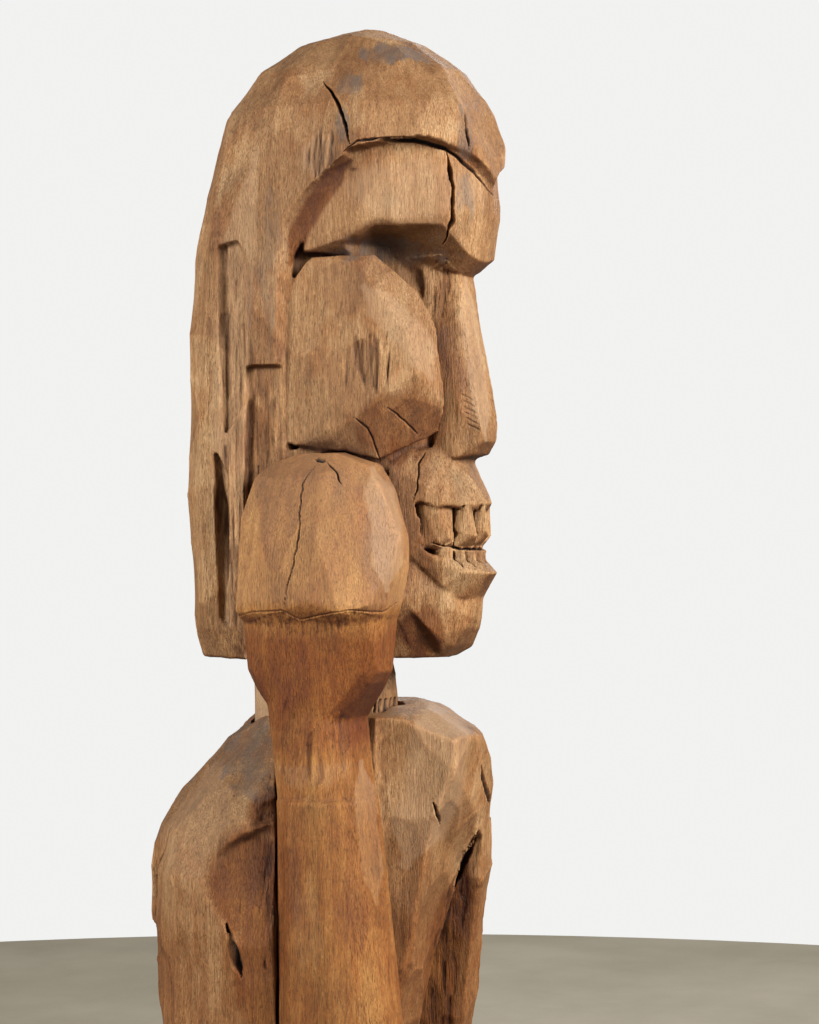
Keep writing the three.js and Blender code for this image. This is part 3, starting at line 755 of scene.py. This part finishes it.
BODY_CRACKS = [
    Line([(-79, 463), (-74, 445), (-67, 422)], 9, 9),
    Line([(86, 552), (90, 543), (94, 531)], 2.4, 4),
    Line([(128, 578), (133, 560), (138, 538)], 2.6, 4),
    Line([(126, 518), (113, 488), (103, 464)], 5.0, 8),
    *checks(7, 180.0, (-120, 120), (300, 590), 9),
    *checks(8, 90.0, (-60, 60), (260, 560), 4),
    *checks(9, -90.0, (-60, 40), (200, 440), 3),
]
BODY_TORN = [
    Stroke([(116, 500), (106, 455), (99, 420), (95, 370), (95, 320)], 26, strength=0.8),
    Patch((-42, 560), (16, 16), strength=0.6),
    Patch((-43, 470), (8, 60), strength=0.8),
    Patch((-30, 400), (40, 70), azimuth=180.0, strength=0.6),
]
BODY_STAINS = [
    Patch((-66, 598), (30, 28), strength=0.6),
    Patch((-56, 566), (20, 9), strength=0.5),
    Patch((10, 560), (60, 30), azimuth=180.0, strength=0.4),
]
BODY_TONES_AND_PAINTED_LIGHT = [
    # painted shade on the shoulder facet beside the forearm
    Patch((-64, 498), (36, 44), strength=-1.0, ragged=0.15),
    # painted shade in the shoulder hollow beside the forearm
    Patch((-40, 552), (26, 20), strength=-0.9, ragged=0.15),
    Patch((-52, 420), (16, 60), strength=-0.5),
    Patch((-100, 425), (22, 42), strength=0.3),
    Patch((-110, 540), (40, 60), nearest=30, strength=0.25, ragged=0.3),
    # painted shade in the recess between the chest and the far arm
    Stroke([(118, 500), (106, 455), (98, 420), (92, 370), (90, 310)], 30, strength=-0.6),
    # painted light on the lit chest
    Stroke([(95, 640), (88, 560), (64, 500)], 56, nearest=-40, strength=0.5),
    Band(60, 500, -0.8, 60.0),
]


HEAD_VOXEL = 0.0015
BODY_VOXEL = 0.0022
FOREARM_VOXEL = 0.0016
BASE_VOXEL = 0.0032

CARVED_WOOD = {
    "deep": (0.060, 0.022, 0.007),
    "dark": (0.225, 0.100, 0.032),
    "mid": (0.400, 0.212, 0.086),
    "light": (0.540, 0.335, 0.165),
}
FOREARM_WOOD = {
    "deep": (0.055, 0.017, 0.003),
    "dark": (0.210, 0.072, 0.012),
    "mid": (0.395, 0.160, 0.034),
    "light": (0.520, 0.262, 0.078),
    "shift": (0.4, 0.2, 0.3),
    "shade": (0.60, 0.42, 0.24),
}
BASE_WOOD = {
    "deep": (0.05, 0.022, 0.010),
    "dark": (0.12, 0.06, 0.028),
    "mid": (0.22, 0.12, 0.062),
    "light": (0.32, 0.19, 0.105),
    "shift": (1.4, 0.7, 0.1),
}
DOWEL_WOOD = {
    "deep": (0.22, 0.12, 0.05),
    "dark": (0.40, 0.25, 0.13),
    "mid": (0.50, 0.34, 0.19),
    "light": (0.6, 0.43, 0.26),
}


def make_head():
    return carve("head_block", "carved_head", HEAD_VOXEL, HEAD_CRACKS, HEAD_TORN, HEAD_STAINS, HEAD_TONES_AND_PAINTED_LIGHT,
                 seed=11)


def make_body():
    return carve("body_block", "carved_body", BODY_VOXEL, BODY_CRACKS, BODY_TORN, BODY_STAINS, BODY_TONES_AND_PAINTED_LIGHT,
                 seed=23, cut_size=(0.04, 0.04, 0.06), cut_depth=0.0062)


def make_forearm():
    return carve("raised_forearm", "carved_forearm", FOREARM_VOXEL, FIST_CRACKS, FIST_TORN, (), FIST_TONES_AND_PAINTED_HIGHLIGHT,
                 seed=37, cut_size=(0.045, 0.045, 0.12), cut_depth=0.0034)


def make_base():
    return carve("base_block", "worked_base", BASE_VOXEL, seed=41, cut_size=(0.08, 0.2, 0.1),
                 cut_depth=0.0012)


def make_figure():
    wood = wood_material("carved_wood", **CARVED_WOOD)
    forearm_wood = wood_material("forearm_wood", **FOREARM_WOOD)
    base_wood = wood_material("base_wood", **BASE_WOOD)
    dressed = (
        (make_head(), wood, "carved_wood"),
        (make_body(), wood, "carved_wood"),
        (make_forearm(), forearm_wood, "forearm_wood"),
        (make_base(), base_wood, "base_wood"),
    )
    for piece, material, slot in dressed:
        piece.data.materials.append(material)


def dress_hardware():
    """Gives the dowels, screws and washers, whose CAD shapes stay as they are, their materials."""
    dowel = wood_material("dowel_wood", **DOWEL_WOOD, sculpted=False)
    zinc = zinc_material()
    materials = {"dowel": dowel, "lag_screw": zinc, "washer": zinc}
    for name, node in NODES.items():
        for part, material in materials.items():
            if part in name:
                node.data.materials.clear()
                node.data.materials.append(material)


# ---------------------------------------------------------------- studio

FLOOR_RADIUS = 2.7
FLOOR_DARK = (0.30, 0.26, 0.185)
FLOOR_LIGHT = (0.37, 0.325, 0.24)
WALL_COLOUR = (0.885, 0.885, 0.875, 1.0)
SKY_COLOUR = (0.95, 0.975, 1.0, 1.0)
SKY_STRENGTH = 0.22
LIGHT_TARGET = Vector((0, 0, 0.85))


def make_floor():
    """A round, faintly mottled floor whose far edge stands for the foot of the wall."""
    mesh = bpy.data.meshes.new("studio_floor")
    work = bmesh.new()
    bmesh.ops.create_circle(work, cap_ends=True, radius=FLOOR_RADIUS, segments=128)
    work.to_mesh(mesh)
    work.free()
    floor = bpy.data.objects.new("studio_floor", mesh)
    bpy.context.scene.collection.objects.link(floor)
    n = Nodes("studio_floor")
    mottle = n.noise((3.0, 3.0, 3.0), 6.0, 0.6)
    n.feed(n.shader.inputs["Base Color"], n.ramp(mottle, [(0.35, FLOOR_DARK), (0.65, FLOOR_LIGHT)]))
    n.shader.inputs["Roughness"].default_value = 0.6
    mesh.materials.append(n.material)


def area_light(name, azimuth_deg, distance, height, size, power, colour):
    """A square soft light at that azimuth, turned to the middle of the figure."""
    _, back = horizontal(azimuth_deg)
    data = bpy.data.lights.new(name, "AREA")
    data.energy = power
    data.size = size
    data.color = colour
    light = bpy.data.objects.new(name, data)
    bpy.context.scene.collection.objects.link(light)
    light.location = back * distance + Vector((0, 0, height))
    light.rotation_euler = (LIGHT_TARGET - light.location).to_track_quat("-Z", "Y").to_euler()


def make_world():
    """A dim, even sky for the lighting, which the camera sees as a plain pale wall."""
    world = bpy.data.worlds.new("studio")
    bpy.context.scene.world = world
    world.use_nodes = True
    tree = world.node_tree
    background = tree.nodes["Background"]
    background.inputs["Color"].default_value = SKY_COLOUR
    background.inputs["Strength"].default_value = SKY_STRENGTH
    backdrop = tree.nodes.new("ShaderNodeBackground")
    backdrop.inputs["Color"].default_value = WALL_COLOUR
    seen = tree.nodes.new("ShaderNodeLightPath")
    pick = tree.nodes.new("ShaderNodeMixShader")
    tree.links.new(seen.outputs["Is Camera Ray"], pick.inputs[0])
    tree.links.new(background.outputs[0], pick.inputs[1])
    tree.links.new(backdrop.outputs[0], pick.inputs[2])
    tree.links.new(pick.outputs[0], tree.nodes["World Output"].inputs["Surface"])


def make_studio():
    make_floor()
    make_world()
    area_light("key", -8.0, 2.2, 1.65, 0.8, 92.0, (1.0, 0.98, 0.95))
    area_light("side", -128.0, 2.6, 1.75, 1.0, 78.0, (1.0, 0.985, 0.96))
    area_light("fill", 100.0, 3.0, 2.2, 1.6, 45.0, (1.0, 0.99, 0.97))
    bpy.context.scene.view_settings.view_transform = "Standard"


make_camera()
make_figure()
dress_hardware()
make_studio()
